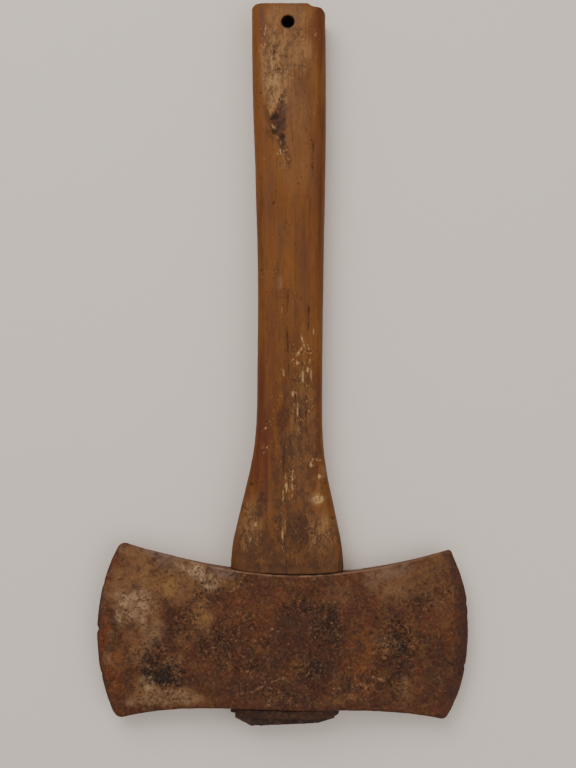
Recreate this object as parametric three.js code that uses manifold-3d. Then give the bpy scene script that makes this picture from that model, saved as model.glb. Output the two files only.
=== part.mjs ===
// A short double-bit axe, lying on one cheek.
// Lengths are in millimetres. The haft runs along +Y, the two bits lie along X and +Z is up.
// The origin is on the ground, under the centre of the eye.
import * as THREE from "three";
import { mergeVertices } from "three/addons/utils/BufferGeometryUtils.js";
import Module from "manifold-3d";

const wasm = await Module();
wasm.setup();

// The head's outline, seen from above the cheek. Each cutting edge is an arc: its reach from the
// eye, its radius, how far up the haft it is centred, and how round its two corners are worn.
const LEFT_BIT = { way: -1, reach: 118, radius: 119, centre: 6, topCorner: 4, bottomCorner: 4 };
const RIGHT_BIT = { way: 1, reach: 112, radius: 115, centre: 8, topCorner: 1.6, bottomCorner: 3 };
const WAIST_HEIGHT = 81.4; // along the haft, over the eye
const WAIST_OFFSET = 2; // the head is narrowest a little to the right of the eye
const SIDE_SPAN = 100; // how far out from the waist the next two rises are measured
const TOP_RISE = 17.1;
const BOTTOM_DROP = 7;
const TOP_CURVE = 1.9; // 2 would be a plain arc, and more keeps the middle flatter
const BOTTOM_CURVE = 3.5;
const HEAD_SKEW_DEG = 0.93; // the head hangs slightly off square

// The head's section, seen along the haft.
const CHEEK_THICKNESS = 27;
const CHEEK_FLAT = 18; // width of the level strip down the middle of each cheek
const CHEEK_FULLNESS = 0.25; // how much faster than a straight taper the cheek falls from the eye
const CHEEK_BLEND = 6; // softens the line between the level strip and the taper
const BEVEL_WIDTH = 7; // ground band along each cutting edge
const BEVEL_THICKNESS = 5;
const EDGE_THICKNESS = 0.8;
const RIM_ROUND = 1.8; // worn edges between the cheeks and the head's top and bottom

// The eye and what sits in it.
const EYE_LENGTH = 66.6;
const EYE_WIDTH = 19.4;
const FIT_GAP = 0.3; // between the haft and the eye, and between the wedge and its kerf
const EYE_FLAT = 0.06; // share of the eye's length and width that is straight

// The haft.
const HAFT_REACH = 405; // from the eye's centre to the free end
const TENON_PROUD = 5.7; // how far the haft comes out below the head
const TENON_SPLAY = 1; // the wedge has spread that end wider than the eye
const TENON_CHAMFER = 5; // run of its slanting corners
const TENON_CHAMFER_RISE = 2.6;
const TENON_END_ROUND = 1.2;
const SHOULDER_RISE = 1.4; // rounded lower edge of the swell, which sits on the head
const SHOULDER_FADE = 25; // how far up the swell the hollow of its underside is felt
const SWELL_WIDTH = 69.6;
const SWELL_THICKNESS = 22.6;
const SWELL_LENGTH = 92; // from the shoulder to where the grip begins
const GRIP_WIDTH = 41;
const GRIP_THICKNESS = 23;
const GRIP_BOW = 1.9; // sideways bow of the haft's middle
const FLARE_LENGTH = 215; // how far before the free end the grip starts to widen
const END_WIDTH = 46.8;
const END_THICKNESS = 25;
const END_RUN = 38; // length of the free end that has its full section and lies on the ground
const END_ROUND = 2.6;
const END_DROP = 2.2; // the free end's right third is broken back
const END_CORNER_DROP = 1.8; // and its outer corner is worn further
const GRIP_FACE_FLAT = 0.64; // share of the haft's width that is a flat face
const SWELL_FACE_FLAT = 0.34;
const SIDE_FLAT = 0.22;
const SQUARENESS = 0.8; // how full the haft's rounded corners are, where 1 is a plain ellipse
const HOLE_DIAMETER = 8;
const HOLE_FROM_END = 13.3;
const HOLE_OFFSET = -0.5; // from the haft's axis

// The kerf in the tenon, and the wedge in it.
const KERF_DEPTH = 55;
const KERF_MOUTH = 5.4;
const KERF_TIP = 1.8;
const WEDGE_WIDTH = 61;
const WEDGE_PROUD = 4.6; // how far the wedge comes out past the tenon
const WEDGE_TIP_GAP = 3; // empty end of the kerf beyond the wedge
const WEDGE_SLANT = 0.06; // slope of the wedge's hammered end
const WEDGE_CORNER = 10; // run of its slanting corners
const WEDGE_CORNER_RISE = 3;

// How finely curves are cut into facets.
const HEAD_COLUMNS = 12; // on each side of the eye
const HEAD_ROWS = 12;
const ROUND_STEPS = 3;
const SECTION_STEPS = 7; // in each quarter of the haft's section
const FACE_LINES = [-0.35, 0.35, 0.8]; // where its flat face is cut, as shares of half its width
const HAFT_STEP = 9;
const HOLE_SIDES = 32;

const { lerp, clamp, smoothstep, degToRad } = THREE.MathUtils;

const waistTop = WAIST_HEIGHT / 2;
const middle = CHEEK_THICKNESS / 2; // height of the axe's middle plane above the ground
const skew = degToRad(HEAD_SKEW_DEG);

// How far a quarter round of this radius has fallen away at a distance from its end.
function roundOff(radius, distance) {
  const left = clamp(radius - distance, 0, radius);
  return radius - Math.sqrt(radius * radius - left * left);
}

// Distances from an edge at which a quarter round is cut into facets.
function roundStops(radius) {
  return Array.from({ length: ROUND_STEPS + 1 }, (_, k) =>
    radius * (1 - Math.cos((k / ROUND_STEPS) * (Math.PI / 2))));
}

function evenly(from, to, count) {
  return Array.from({ length: count + 1 }, (_, k) => lerp(from, to, k / count));
}

// The closed solid between a sheet of points and its mirror image in the plane z = 0.
// The sheet's first index runs along +X and its second along +Y, and z is above 0.
function mirroredSolid(sheet) {
  const columns = sheet.length;
  const rows = sheet[0].length;
  const half = columns * rows;
  const at = (i, j) => i * rows + j;
  const faces = [];
  const quad = (a, b, c, d) => faces.push(a, b, c, a, c, d);

  for (let i = 0; i < columns - 1; i++) {
    for (let j = 0; j < rows - 1; j++) {
      const corners = [at(i, j), at(i + 1, j), at(i + 1, j + 1), at(i, j + 1)];
      quad(...corners);
      quad(...corners.reverse().map((k) => k + half));
    }
  }

  const border = [];
  for (let i = 0; i < columns - 1; i++) border.push(at(i, 0));
  for (let j = 0; j < rows - 1; j++) border.push(at(columns - 1, j));
  for (let i = columns - 1; i > 0; i--) border.push(at(i, rows - 1));
  for (let j = rows - 1; j > 0; j--) border.push(at(0, j));
  border.forEach((a, k) => {
    const b = border[(k + 1) % border.length];
    quad(a, a + half, b + half, b);
  });

  const points = [1, -1].flatMap((side) => sheet.flat().flatMap((p) => [p.x, p.y, side * p.z]));
  const geometry = new THREE.BufferGeometry();
  geometry.setAttribute("position", new THREE.Float32BufferAttribute(points, 3));
  geometry.setIndex(faces);
  return geometry;
}

function toManifold(geometry) {
  const bare = geometry.clone();
  bare.deleteAttribute("normal");
  bare.deleteAttribute("uv");
  const merged = mergeVertices(bare, 1e-4);
  return new wasm.Manifold(new wasm.Mesh({
    numProp: 3,
    vertProperties: merged.attributes.position.array,
    triVerts: new Uint32Array(merged.index.array),
  }));
}

function cut(geometry, ...cutters) {
  const left = cutters.reduce((solid, c) => solid.subtract(toManifold(c)), toManifold(geometry));
  const mesh = left.getMesh();
  const result = new THREE.BufferGeometry();
  result.setAttribute("position", new THREE.BufferAttribute(mesh.vertProperties, 3));
  result.setIndex(new THREE.BufferAttribute(mesh.triVerts, 1));
  return result;
}

// The head's top and bottom sides are hollow curves that end in the corners of the bits.
const fromWaist = (x) => Math.abs(x - WAIST_OFFSET) / SIDE_SPAN;
const topSide = (x) => waistTop + TOP_RISE * fromWaist(x) ** TOP_CURVE;
const bottomSide = (x) => -waistTop - BOTTOM_DROP * fromWaist(x) ** BOTTOM_CURVE;

// Places along the haft. The shoulder is level with the head's top side at the swell's left end.
const shoulder = topSide(-SWELL_WIDTH / 2) + (SWELL_WIDTH / 2) * Math.sin(skew) + FIT_GAP;
const gripStart = shoulder + SWELL_LENGTH;
const flareStart = HAFT_REACH - FLARE_LENGTH;
const endRunStart = HAFT_REACH - END_RUN;
const tenonEnd = -waistTop - TENON_PROUD;
const splayStart = -waistTop - FIT_GAP;
const eyeOffset = -shoulder * Math.sin(skew);

// How far out a cutting edge is at a height along it.
function edgeReach(y, bit) {
  return bit.reach - bit.radius + Math.sqrt(bit.radius ** 2 - (y - bit.centre) ** 2);
}

// Half the head's thickness, at a distance back from the cutting edge of a bit of this reach.
function halfThickness(back, reach) {
  if (back < BEVEL_WIDTH) {
    return lerp(EDGE_THICKNESS, BEVEL_THICKNESS, back / BEVEL_WIDTH) / 2;
  }
  const run = reach - BEVEL_WIDTH - CHEEK_FLAT / 2;
  const out = Math.max(0, reach - back - CHEEK_FLAT / 2);
  const soft = (Math.hypot(out, CHEEK_BLEND) - CHEEK_BLEND)
    / (Math.hypot(run, CHEEK_BLEND) - CHEEK_BLEND);
  const fall = soft * (1 + CHEEK_FULLNESS * (1 - soft));
  return lerp(CHEEK_THICKNESS, BEVEL_THICKNESS, fall) / 2;
}

// How far out a row of the cheek reaches, at its share of the head's height.
function rowReach(share, bit) {
  let reach = bit.reach;
  for (let k = 0; k < 6; k++) {
    const x = bit.way * reach;
    reach = edgeReach(lerp(bottomSide(x), topSide(x), share), bit);
  }
  const inFromSide = Math.min(share, 1 - share) * WAIST_HEIGHT;
  return reach - roundOff(share < 0.5 ? bit.bottomCorner : bit.topCorner, inFromSide);
}

function cheekPoint(share, bit, column) {
  const reach = rowReach(share, bit);
  const x = bit.way * reach * column(reach);
  const worn = roundOff(RIM_ROUND, Math.min(share, 1 - share) * WAIST_HEIGHT);
  const z = halfThickness(reach - Math.abs(x), reach) - worn;
  const y = lerp(bottomSide(x), topSide(x), share);
  return new THREE.Vector3(x, y, Math.max(z, EDGE_THICKNESS / 2));
}

function headGeometry() {
  const corner = evenly(RIM_ROUND, LEFT_BIT.topCorner, 2).slice(1);
  const near = [...roundStops(RIM_ROUND), ...corner].map((d) => d / WAIST_HEIGHT);
  const inner = evenly(near.at(-1), 1 - near.at(-1), HEAD_ROWS).slice(1, -1);
  const far = near.map((share) => 1 - share).reverse();
  const rows = [...near, ...inner, ...far];

  // Columns are shares of a row's own reach: level strip, taper, bevel.
  const flat = (reach) => CHEEK_FLAT / 2 / reach;
  const bevel = (reach) => 1 - BEVEL_WIDTH / reach;
  const outward = [
    ...evenly(0, 1, HEAD_COLUMNS).map((t) => (reach) => lerp(flat(reach), bevel(reach), t)),
    (reach) => (bevel(reach) + 1) / 2,
    () => 1,
  ];
  const sheet = [
    ...[...outward].reverse().map((column) => rows.map((share) => cheekPoint(share, LEFT_BIT, column))),
    ...outward.map((column) => rows.map((share) => cheekPoint(share, RIGHT_BIT, column))),
  ];
  const blank = mirroredSolid(sheet).rotateZ(-skew);
  const eye = mirroredSolid(tube([-2 * WAIST_HEIGHT, 2 * WAIST_HEIGHT], () => eyeSection(0)));
  return cut(blank, setInEye(eye));
}

// Moves a piece made about the Y axis to the eye's own axis, which leans with the head and meets
// the haft's axis at the shoulder.
function setInEye(geometry) {
  return geometry.translate(eyeOffset, 0, 0).rotateZ(-skew);
}

// A section is half a width, half a thickness, the shares of both that are flat, and how full the
// corners between the flats are.
function eyeSection(inset) {
  const width = EYE_LENGTH / 2 - inset;
  const thick = EYE_WIDTH / 2 - inset;
  return { width, thick, face: EYE_FLAT, side: EYE_FLAT, full: 1 };
}

// The upper half of a long piece: one section at each place along Y. A line of points along it is
// given by its side, its angle round the corner and its share of the way across the flat face.
function tube(places, sectionAt) {
  const quarter = evenly(0, 1, SECTION_STEPS);
  const lines = [
    ...quarter.map((turn) => [-1, turn, 1]),
    ...FACE_LINES.map((share) => [Math.sign(share), 1, Math.abs(share)]),
    ...[...quarter].reverse().map((turn) => [1, turn, 1]),
  ];
  return lines.map(([hand, turn, share]) => places.map((y) => {
    const s = sectionAt(y);
    const across = turn < 1 ? Math.cos((turn * Math.PI) / 2) ** s.full : 0;
    const up = turn > 0 ? Math.sin((turn * Math.PI) / 2) ** s.full : 0;
    const x = hand * s.width * (s.face * share + (1 - s.face) * across);
    const z = s.thick * (s.side + (1 - s.side) * up);
    return new THREE.Vector3(x, y, z);
  }));
}

const seated = eyeSection(FIT_GAP);

function haftSection(y) {
  const rise = clamp((y - shoulder) / SHOULDER_RISE, 0, 1);
  const free = Math.sqrt(1 - (1 - rise) ** 2);
  const swell = 1 - smoothstep(y, shoulder, gripStart);
  const flare = smoothstep(y, flareStart, endRunStart);
  const width = (lerp(GRIP_WIDTH, SWELL_WIDTH, swell) + flare * (END_WIDTH - GRIP_WIDTH)) / 2;
  const thick = (lerp(GRIP_THICKNESS, SWELL_THICKNESS, swell)
    + flare * (END_THICKNESS - GRIP_THICKNESS)) / 2;
  const endWear = roundOff(END_ROUND, HAFT_REACH - y);

  const fromTenonEnd = y - tenonEnd;
  const splay = TENON_SPLAY * clamp((splayStart - y) / FIT_GAP, 0, 1);
  const chamfer = TENON_CHAMFER * clamp(1 - fromTenonEnd / TENON_CHAMFER_RISE, 0, 1);
  const tenonWear = roundOff(TENON_END_ROUND, fromTenonEnd);
  return {
    width: lerp(seated.width, width, free) + splay - chamfer - endWear,
    thick: lerp(seated.thick, thick, free) + splay / 2 - tenonWear - endWear,
    face: lerp(seated.face, lerp(GRIP_FACE_FLAT, SWELL_FACE_FLAT, swell), free),
    side: lerp(seated.side, SIDE_FLAT, free),
    full: lerp(seated.full, SQUARENESS, free),
  };
}

// The haft bows a little to one side, and sinks until its free end lies on the ground.
function haftBow(y) {
  const along = clamp((y - shoulder) / (HAFT_REACH - shoulder), 0, 1);
  return GRIP_BOW * Math.sin(0.88 * Math.PI * along);
}

function haftSink(y) {
  return ((END_THICKNESS - CHEEK_THICKNESS) / 2) * smoothstep(y, shoulder, endRunStart);
}

// Above the shoulder the haft is bent and its two ends are shaped. The tenon goes into the eye.
function bendHaft(geometry) {
  const position = geometry.attributes.position;
  for (let k = 0; k < position.count; k++) {
    const x = position.getX(k);
    const y = position.getY(k);
    if (y < shoulder - FIT_GAP) {
      position.setXYZ(k, x + (y - shoulder) * Math.sin(skew), y - x * Math.sin(skew), position.getZ(k));
      continue;
    }
    const seat = topSide(x) - x * Math.sin(skew) + FIT_GAP - shoulder;
    const fade = 1 - smoothstep(y, shoulder + SHOULDER_RISE, shoulder + SHOULDER_FADE);
    const atEnd = smoothstep(y, HAFT_REACH - 4 * END_ROUND, HAFT_REACH);
    const broken = END_DROP * smoothstep(x, 0.27 * END_WIDTH, 0.36 * END_WIDTH)
      + END_CORNER_DROP * smoothstep(x, 0.42 * END_WIDTH, 0.5 * END_WIDTH);
    position.setXYZ(k, x + haftBow(y), y + seat * fade - broken * atEnd, position.getZ(k) + haftSink(y));
  }
  return geometry;
}

function haftGeometry() {
  const tenonStops = [
    ...roundStops(TENON_END_ROUND).map((d) => tenonEnd + d),
    tenonEnd + TENON_CHAMFER_RISE,
    splayStart - FIT_GAP,
    splayStart,
  ];
  const shoulderStops = evenly(shoulder, shoulder + SHOULDER_RISE, 3);
  const endStops = roundStops(END_ROUND).map((d) => HAFT_REACH - d).reverse();
  const bodySteps = Math.ceil((endRunStart - shoulder) / HAFT_STEP);
  const places = [
    ...tenonStops,
    ...shoulderStops,
    ...evenly(shoulderStops.at(-1), endRunStart, bodySteps).slice(1),
    ...evenly(endRunStart, endStops[0], 3).slice(1, -1),
    ...endStops,
  ];
  const stick = bendHaft(mirroredSolid(tube(places, haftSection)));
  return cut(stick, kerfCutter(), holeCutter());
}

function holeCutter() {
  const y = HAFT_REACH - HOLE_FROM_END;
  return new THREE.CylinderGeometry(HOLE_DIAMETER / 2, HOLE_DIAMETER / 2, 4 * END_THICKNESS, HOLE_SIDES)
    .rotateX(Math.PI / 2)
    .translate(haftBow(y) + HOLE_OFFSET, y, 0);
}

// Half the kerf's opening at a depth into the tenon, also past its mouth.
function halfKerf(depth) {
  return lerp(KERF_MOUTH, KERF_TIP, depth / KERF_DEPTH) / 2;
}

function kerfCutter() {
  const outside = -TENON_PROUD;
  const profile = new THREE.Shape([
    new THREE.Vector2(tenonEnd + outside, -halfKerf(outside)),
    new THREE.Vector2(tenonEnd + KERF_DEPTH, -halfKerf(KERF_DEPTH)),
    new THREE.Vector2(tenonEnd + KERF_DEPTH, halfKerf(KERF_DEPTH)),
    new THREE.Vector2(tenonEnd + outside, halfKerf(outside)),
  ]);
  const alongYZX = new THREE.Matrix4().makeBasis(
    new THREE.Vector3(0, 1, 0), new THREE.Vector3(0, 0, 1), new THREE.Vector3(1, 0, 0));
  return new THREE.ExtrudeGeometry(profile, { depth: 2 * SWELL_WIDTH, bevelEnabled: false })
    .translate(0, 0, -SWELL_WIDTH)
    .applyMatrix4(alongYZX);
}

// The wedge is set in the kerf, and its driven end stands slanting past the tenon.
function wedgeGeometry() {
  const tip = KERF_DEPTH - WEDGE_TIP_GAP;
  const half = WEDGE_WIDTH / 2;
  const columns = [-half, -half + WEDGE_CORNER, 0, half - WEDGE_CORNER, half];
  const depths = [-WEDGE_PROUD, 0, tip / 2, tip];
  const sheet = columns.map((x) => depths.map((depth) => {
    const out = clamp(-depth / WEDGE_PROUD, 0, 1);
    const atCorner = Math.abs(x) === half ? WEDGE_CORNER_RISE : 0;
    const y = tenonEnd + depth + out * (atCorner + WEDGE_SLANT * x);
    return new THREE.Vector3(x, y, halfKerf(Math.max(depth, 0)) - FIT_GAP);
  }));
  return setInEye(mirroredSolid(sheet));
}

function piece(name, geometry, look) {
  geometry.computeVertexNormals();
  const mesh = new THREE.Mesh(geometry, new THREE.MeshStandardMaterial(look));
  mesh.name = name;
  return mesh;
}

const rustedSteel = { color: 0x57321f, roughness: 0.85, metalness: 0.3 };
const wornHickory = { color: 0x84522b, roughness: 0.6, metalness: 0 };
const dirtyWedge = { color: 0x4a2f1c, roughness: 0.8, metalness: 0 };

const axe = new THREE.Group();
axe.name = "double_bit_axe";
axe.position.z = middle;
axe.add(
  piece("axe_head", headGeometry(), rustedSteel),
  piece("haft", haftGeometry(), wornHickory),
  piece("wedge", wedgeGeometry(), dirtyWedge),
);

export default axe;
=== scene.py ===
"""A rusted double-bit axe with a worn wooden haft, lying on its cheek on a pale floor.

Shapes are worked out in millimetres in the part's own frame and turned into metres when a mesh is
made. The haft runs along +Y, the bits lie along X, and z is measured from the ground.
"""
import math
import random
from collections import namedtuple

import bmesh
import bpy
import numpy as np
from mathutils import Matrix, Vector, kdtree


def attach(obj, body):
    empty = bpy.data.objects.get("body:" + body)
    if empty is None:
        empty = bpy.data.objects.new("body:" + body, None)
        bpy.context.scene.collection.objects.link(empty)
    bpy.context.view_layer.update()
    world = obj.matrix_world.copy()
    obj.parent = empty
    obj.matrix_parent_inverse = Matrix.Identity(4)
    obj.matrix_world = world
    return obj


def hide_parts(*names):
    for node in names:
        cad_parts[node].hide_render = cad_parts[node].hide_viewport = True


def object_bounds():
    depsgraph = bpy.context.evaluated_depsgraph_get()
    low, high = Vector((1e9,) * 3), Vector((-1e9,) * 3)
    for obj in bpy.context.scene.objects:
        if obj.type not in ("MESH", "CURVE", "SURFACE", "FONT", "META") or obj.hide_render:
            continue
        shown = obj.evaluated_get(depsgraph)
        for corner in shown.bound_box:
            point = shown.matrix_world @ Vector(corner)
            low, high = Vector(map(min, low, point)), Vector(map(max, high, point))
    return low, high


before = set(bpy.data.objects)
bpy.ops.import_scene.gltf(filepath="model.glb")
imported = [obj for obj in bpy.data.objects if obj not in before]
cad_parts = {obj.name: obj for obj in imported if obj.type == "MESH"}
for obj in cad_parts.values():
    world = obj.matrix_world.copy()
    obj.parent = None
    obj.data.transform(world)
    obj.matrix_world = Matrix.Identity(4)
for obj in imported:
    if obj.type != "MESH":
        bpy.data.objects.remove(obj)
cad_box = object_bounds()
random.seed(7)

MM = 0.001

# The head, as in the CAD part
Bit = namedtuple("Bit", "way reach radius centre top_corner bottom_corner")
LEFT_BIT = Bit(-1, 118.0, 119.0, 6.0, 4.0, 4.0)
RIGHT_BIT = Bit(1, 112.0, 115.0, 8.0, 1.6, 3.0)
WAIST_HEIGHT = 81.4
WAIST_OFFSET = 2.0
SIDE_SPAN = 100.0
TOP_RISE, TOP_CURVE = 17.1, 1.9
BOTTOM_DROP, BOTTOM_CURVE = 7.0, 3.5
SKEW = math.radians(0.93)
CHEEK_THICKNESS = 27.0
CHEEK_FLAT = 18.0
CHEEK_FULLNESS = 0.25
CHEEK_BLEND = 6.0
BEVEL_WIDTH = 7.0
BEVEL_THICKNESS = 5.0
EDGE_THICKNESS = 0.8
RIM_ROUND = 1.8

# The eye, the haft and the wedge, as in the CAD part
EYE_LENGTH, EYE_WIDTH, EYE_FLAT = 66.6, 19.4, 0.06
FIT_GAP = 0.3
HAFT_REACH = 405.0
TENON_PROUD = 5.7
TENON_SPLAY = 1.0
TENON_CHAMFER, TENON_CHAMFER_RISE = 5.0, 2.6
TENON_END_ROUND = 1.2
SHOULDER_FADE = 25.0
SWELL_WIDTH, SWELL_THICKNESS, SWELL_LENGTH = 69.6, 22.6, 92.0
GRIP_WIDTH, GRIP_THICKNESS, GRIP_BOW, BOW_SHARE = 41.0, 23.0, 1.9, 0.88
FLARE_LENGTH = 215.0
END_WIDTH, END_THICKNESS, END_RUN, END_ROUND = 46.8, 25.0, 38.0, 2.6
END_DROP, BREAK_RUN = 2.2, 4 * END_ROUND
GRIP_FACE_FLAT, SWELL_FACE_FLAT, SIDE_FLAT = 0.64, 0.34, 0.22
SQUARENESS = 0.8
HOLE_DIAMETER, HOLE_FROM_END, HOLE_OFFSET = 8.0, 13.3, -0.5
KERF_DEPTH, KERF_MOUTH, KERF_TIP = 55.0, 5.4, 1.8
WEDGE_WIDTH, WEDGE_PROUD, WEDGE_TIP_GAP = 61.0, 4.6, 3.0
WEDGE_SLANT, WEDGE_CORNER, WEDGE_CORNER_RISE = 0.06, 10.0, 3.0

# What is crisper or more worn than in the CAD part
SHOULDER_RISE = 0.35
BREAK_START, BREAK_END = 0.24 * END_WIDTH, 0.34 * END_WIDTH
CORNER_START, CORNER_END, END_CORNER_DROP = 0.42 * END_WIDTH, 0.5 * END_WIDTH, 1.0
TENON_LEFT_WEAR, TENON_WEAR_RUN, TENON_WEAR_RISE = 1.5, 8.0, 4.0
WEDGE_LEFT_WEAR = 2.9
TOP_LEFT_WEAR = 0.9
SEAT_HEIGHT, SEAT_FADE, SEAT_HOLD = 0.6, 3.0, 0.8

MIDDLE = CHEEK_THICKNESS / 2
WAIST_TOP = WAIST_HEIGHT / 2


def smoothstep(x, low, high):
    """0 below low, 1 above high, and smooth between them."""
    t = np.clip((x - low) / (high - low), 0, 1)
    return t * t * (3 - 2 * t)


def blend(a, b, share):
    return a + (b - a) * share


def round_off(radius, distance):
    """How far a quarter round has fallen away at a distance from its end."""
    left = np.clip(radius - distance, 0, radius)
    return radius - np.sqrt(radius * radius - left * left)


def lattice(ix, iy, iz, seed):
    """A repeatable number from -1 to 1 for each point of a whole-number lattice."""
    n = ix * 374761393 + iy * 668265263 + iz * 1440662683 + seed * 974634777
    n = (n ^ (n >> 13)) * 1274126177
    return ((n ^ (n >> 16)) & 0xFFFF) / 32767.5 - 1


def noise(points, size, seed, octaves=4):
    """Smooth noise from about -1 to 1. The size of its features may differ along X, Y and Z."""
    total = np.zeros(len(points))
    for octave in range(octaves):
        p = points / np.asarray(size, float) * 2.0 ** octave + 31.7 * octave
        cell = np.floor(p).astype(np.int64)
        t = p - cell
        t = t * t * (3 - 2 * t)
        layer = np.zeros(len(points))
        for corner in range(8):
            step = np.array([corner & 1, corner >> 1 & 1, corner >> 2])
            weight = np.prod(np.where(step, t, 1 - t), axis=1)
            layer += weight * lattice(*(cell + step).T, seed + octave)
        total += layer * 0.55 ** octave
    return total


def spots(x, y, places, ragged):
    """Soft-edged ellipses, the strongest where they lie over each other."""
    total = np.zeros(len(x))
    for cx, cy, rx, ry, strength, *turn in places:
        angle = math.radians(turn[0]) if turn else 0
        c, s = math.cos(angle), math.sin(angle)
        u = ((x - cx) * c + (y - cy) * s) / rx
        v = ((y - cy) * c - (x - cx) * s) / ry
        total = np.maximum(total, strength * (1 - smoothstep(np.hypot(u, v) + ragged, 0.55, 1.3)))
    return total


def both_faces(tables, upper, lower, share, ragged):
    """Spots of the upper face, which go over into the lower face's own arrangement at the sides."""
    masks = {}
    for name, (places, roughness) in tables.items():
        above, below = (spots(*face, places, roughness * ragged) for face in (upper, lower))
        masks[name] = blend(below, above, share)
    return masks


def scratches(x, y, lines, width):
    """Thin lines drawn through lists of points."""
    nearest = np.full(len(x), 1e3)
    for line in lines:
        for (ax, ay), (bx, by) in zip(line, line[1:]):
            dx, dy = bx - ax, by - ay
            t = np.clip(((x - ax) * dx + (y - ay) * dy) / (dx * dx + dy * dy), 0, 1)
            nearest = np.minimum(nearest, np.hypot(x - ax - t * dx, y - ay - t * dy))
    return np.exp(-(nearest / width) ** 2)


def add(name, data):
    """A new object in the scene."""
    thing = bpy.data.objects.new(name, data)
    bpy.context.scene.collection.objects.link(thing)
    return thing


def solid(name, sheets):
    """Joins sheets of points into one closed mesh. A sheet is its points, and which cells it keeps."""
    mesh = bmesh.new()
    for points, keep in sheets:
        rows = [[mesh.verts.new(p) for p in line] for line in points.tolist()]
        for i, line in enumerate(keep.tolist()):
            for j, kept in enumerate(line):
                if kept:
                    mesh.faces.new((rows[i][j], rows[i + 1][j], rows[i + 1][j + 1], rows[i][j + 1]))
    bmesh.ops.remove_doubles(mesh, verts=mesh.verts, dist=1e-4)
    loose = [v for v in mesh.verts if not v.link_faces]
    bmesh.ops.delete(mesh, geom=loose, context="VERTS")
    bmesh.ops.recalc_face_normals(mesh, faces=mesh.faces)
    data = bpy.data.meshes.new(name)
    mesh.to_mesh(data)
    mesh.free()
    return add(name, data)


def whole(points):
    """A sheet that keeps all its cells."""
    return points, np.ones((points.shape[0] - 1, points.shape[1] - 1), bool)


def mirrored(points):
    return points * np.array([1, 1, -1])


def side_band(rim, count):
    """The sheet between an upper rim and its mirror image, with count points from one to the other."""
    down = np.linspace(1, -1, count)[None, :, None]
    return whole(np.repeat(rim[:, None], count, 1) * np.concatenate([np.ones((1, count, 2)), down], axis=2))


def block(name, top, count):
    """A closed mesh from its upper half, whose four sides go down to its mirror image."""
    sides = [side_band(edge, count) for edge in (top[0], top[-1], top[:, 0], top[:, -1])]
    return solid(name, [whole(top), whole(mirrored(top)), *sides])


def skewed(x, y, z):
    """Points of the upright head, hung off square and lifted to the axe's middle plane."""
    c, s = math.cos(SKEW), math.sin(SKEW)
    return np.stack([x * c + y * s, y * c - x * s, z + MIDDLE], axis=1)


def read(piece):
    """The piece's points and vertex normals."""
    data = piece.data
    co = np.empty(len(data.vertices) * 3)
    data.vertices.foreach_get("co", co)
    normal = np.empty(len(data.vertices) * 3)
    data.vertex_normals.foreach_get("vector", normal)
    return co.reshape(-1, 3), normal.reshape(-1, 3)


def write(piece, co, masks, sharp_deg):
    """Stores the moved points in metres, with one named number per point for each mask."""
    data = piece.data
    data.vertices.foreach_set("co", (co * MM).ravel())
    for name, values in masks.items():
        layer = data.attributes.new(name, "FLOAT", "POINT")
        layer.data.foreach_set("value", np.clip(values, 0, 1).astype(np.float32))
    data.update()
    data.shade_smooth()
    data.set_sharp_from_angle(angle=math.radians(sharp_deg))


# The head's shape

HEAD_ROWS, WALL_STEPS, ACROSS_STEPS, EDGE_STEPS = 94, 13, 5, 9
FLAT_STEPS, TAPER_STEPS, BEVEL_STEPS = 11, 121, 10


def top_side(x):
    return WAIST_TOP + TOP_RISE * (np.abs(x - WAIST_OFFSET) / SIDE_SPAN) ** TOP_CURVE


def bottom_side(x):
    return -WAIST_TOP - BOTTOM_DROP * (np.abs(x - WAIST_OFFSET) / SIDE_SPAN) ** BOTTOM_CURVE


SHOULDER = float(top_side(-SWELL_WIDTH / 2)) + SWELL_WIDTH / 2 * math.sin(SKEW) + FIT_GAP
EYE_OFFSET = -SHOULDER * math.sin(SKEW)


def edge_reach(bit, y):
    """How far out a bit's cutting edge is at a height on the head."""
    return bit.reach - bit.radius + np.sqrt(bit.radius ** 2 - (y - bit.centre) ** 2)


def row_reach(share, bit):
    """How far out a row ends that keeps the same share of the way from the bottom side to the top."""
    out = np.full_like(share, bit.reach)
    for _ in range(6):
        low, high = bottom_side(bit.way * out), top_side(bit.way * out)
        out = edge_reach(bit, low + share * (high - low))
    corner = np.where(share < 0.5, bit.bottom_corner, bit.top_corner)
    return out - round_off(corner, np.minimum(share, 1 - share) * WAIST_HEIGHT)


def half_thickness(back, reach):
    """Half the head's thickness at a distance back from the cutting edge, in a row that ends at reach."""
    bevel = blend(EDGE_THICKNESS, BEVEL_THICKNESS, np.minimum(back / BEVEL_WIDTH, 1))
    out = np.maximum(0, reach - back - CHEEK_FLAT / 2)
    run = reach - BEVEL_WIDTH - CHEEK_FLAT / 2
    soft = (np.hypot(out, CHEEK_BLEND) - CHEEK_BLEND) / (np.hypot(run, CHEEK_BLEND) - CHEEK_BLEND)
    fall = soft * (1 + CHEEK_FULLNESS * (1 - soft))
    cheek = blend(CHEEK_THICKNESS, BEVEL_THICKNESS, fall)
    return np.where(back < BEVEL_WIDTH, bevel, cheek) / 2


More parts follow.
